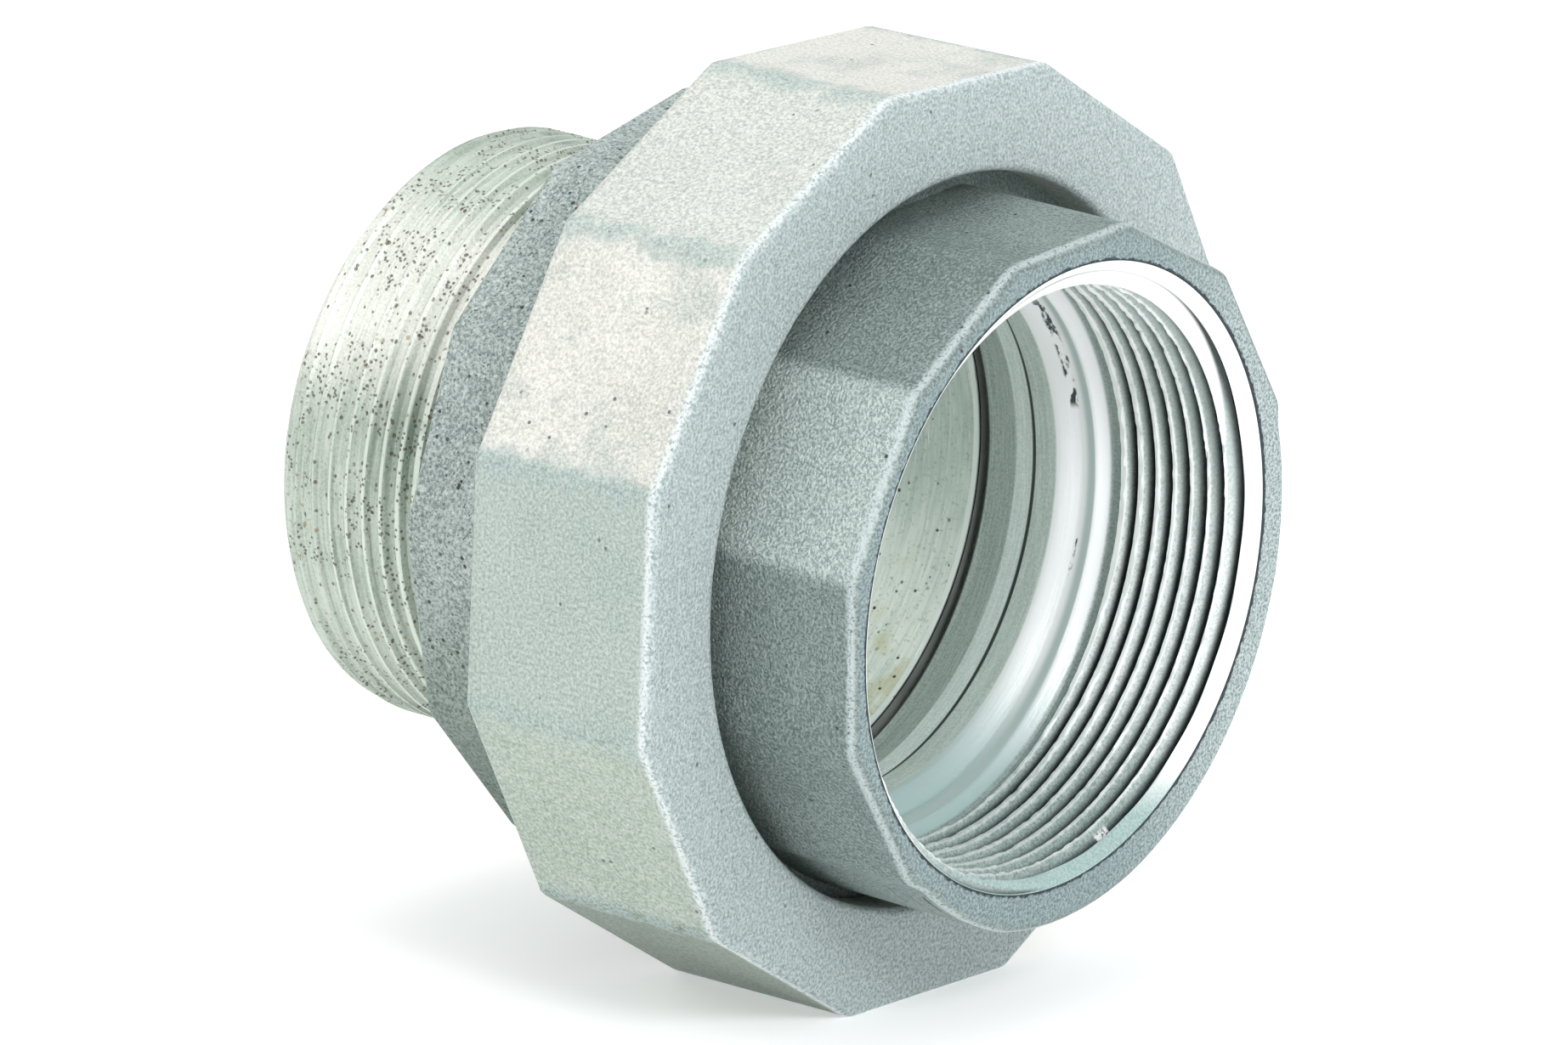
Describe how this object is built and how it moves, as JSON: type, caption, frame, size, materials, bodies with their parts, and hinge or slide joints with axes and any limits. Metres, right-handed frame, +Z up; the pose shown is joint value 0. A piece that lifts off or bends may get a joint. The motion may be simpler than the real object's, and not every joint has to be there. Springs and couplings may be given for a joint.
{
  "type": "conduit union",
  "caption": "Conduit union: a male half and a female half with tapered pipe threads, drawn together by a faceted ring nut.",
  "frame": {"origin": "on the conduit axis, midway between the male end and the female mouth", "axes": "+X along the conduit axis, from the male end to the female mouth; +Z up, square to the nut's upper flat, as it lies on the opposite flat"},
  "size_m": [0.111, 0.134, 0.134],
  "materials": {
    "male_casting": "zinc plated, pitted cast skin, machined thread",
    "female_casting": "zinc plated, fine sand-cast skin, bright machined mouth",
    "nut_casting": "zinc plated, fine sand-cast skin"
  },
  "bodies": {
    "male_half": {"male_half": "male_casting"},
    "female_half": {"female_half": "female_casting"},
    "union_nut": {"union_nut": "nut_casting"}
  },
  "joints": [
    {"name": "union_draw", "type": "slide", "parent": "male_half", "child": "female_half", "axis": [1, 0, 0], "range_m": [0, 0.0143]},
    {"name": "nut_turn", "type": "hinge", "parent": "female_half", "child": "union_nut", "pos_m": [0.017, 0, 0], "axis": [1, 0, 0], "range_deg": [0, 1620]}
  ],
  "couplings": [
    {"joint": "union_draw", "follows": "nut_turn", "m_per_rad": 0.00050532}
  ]
}
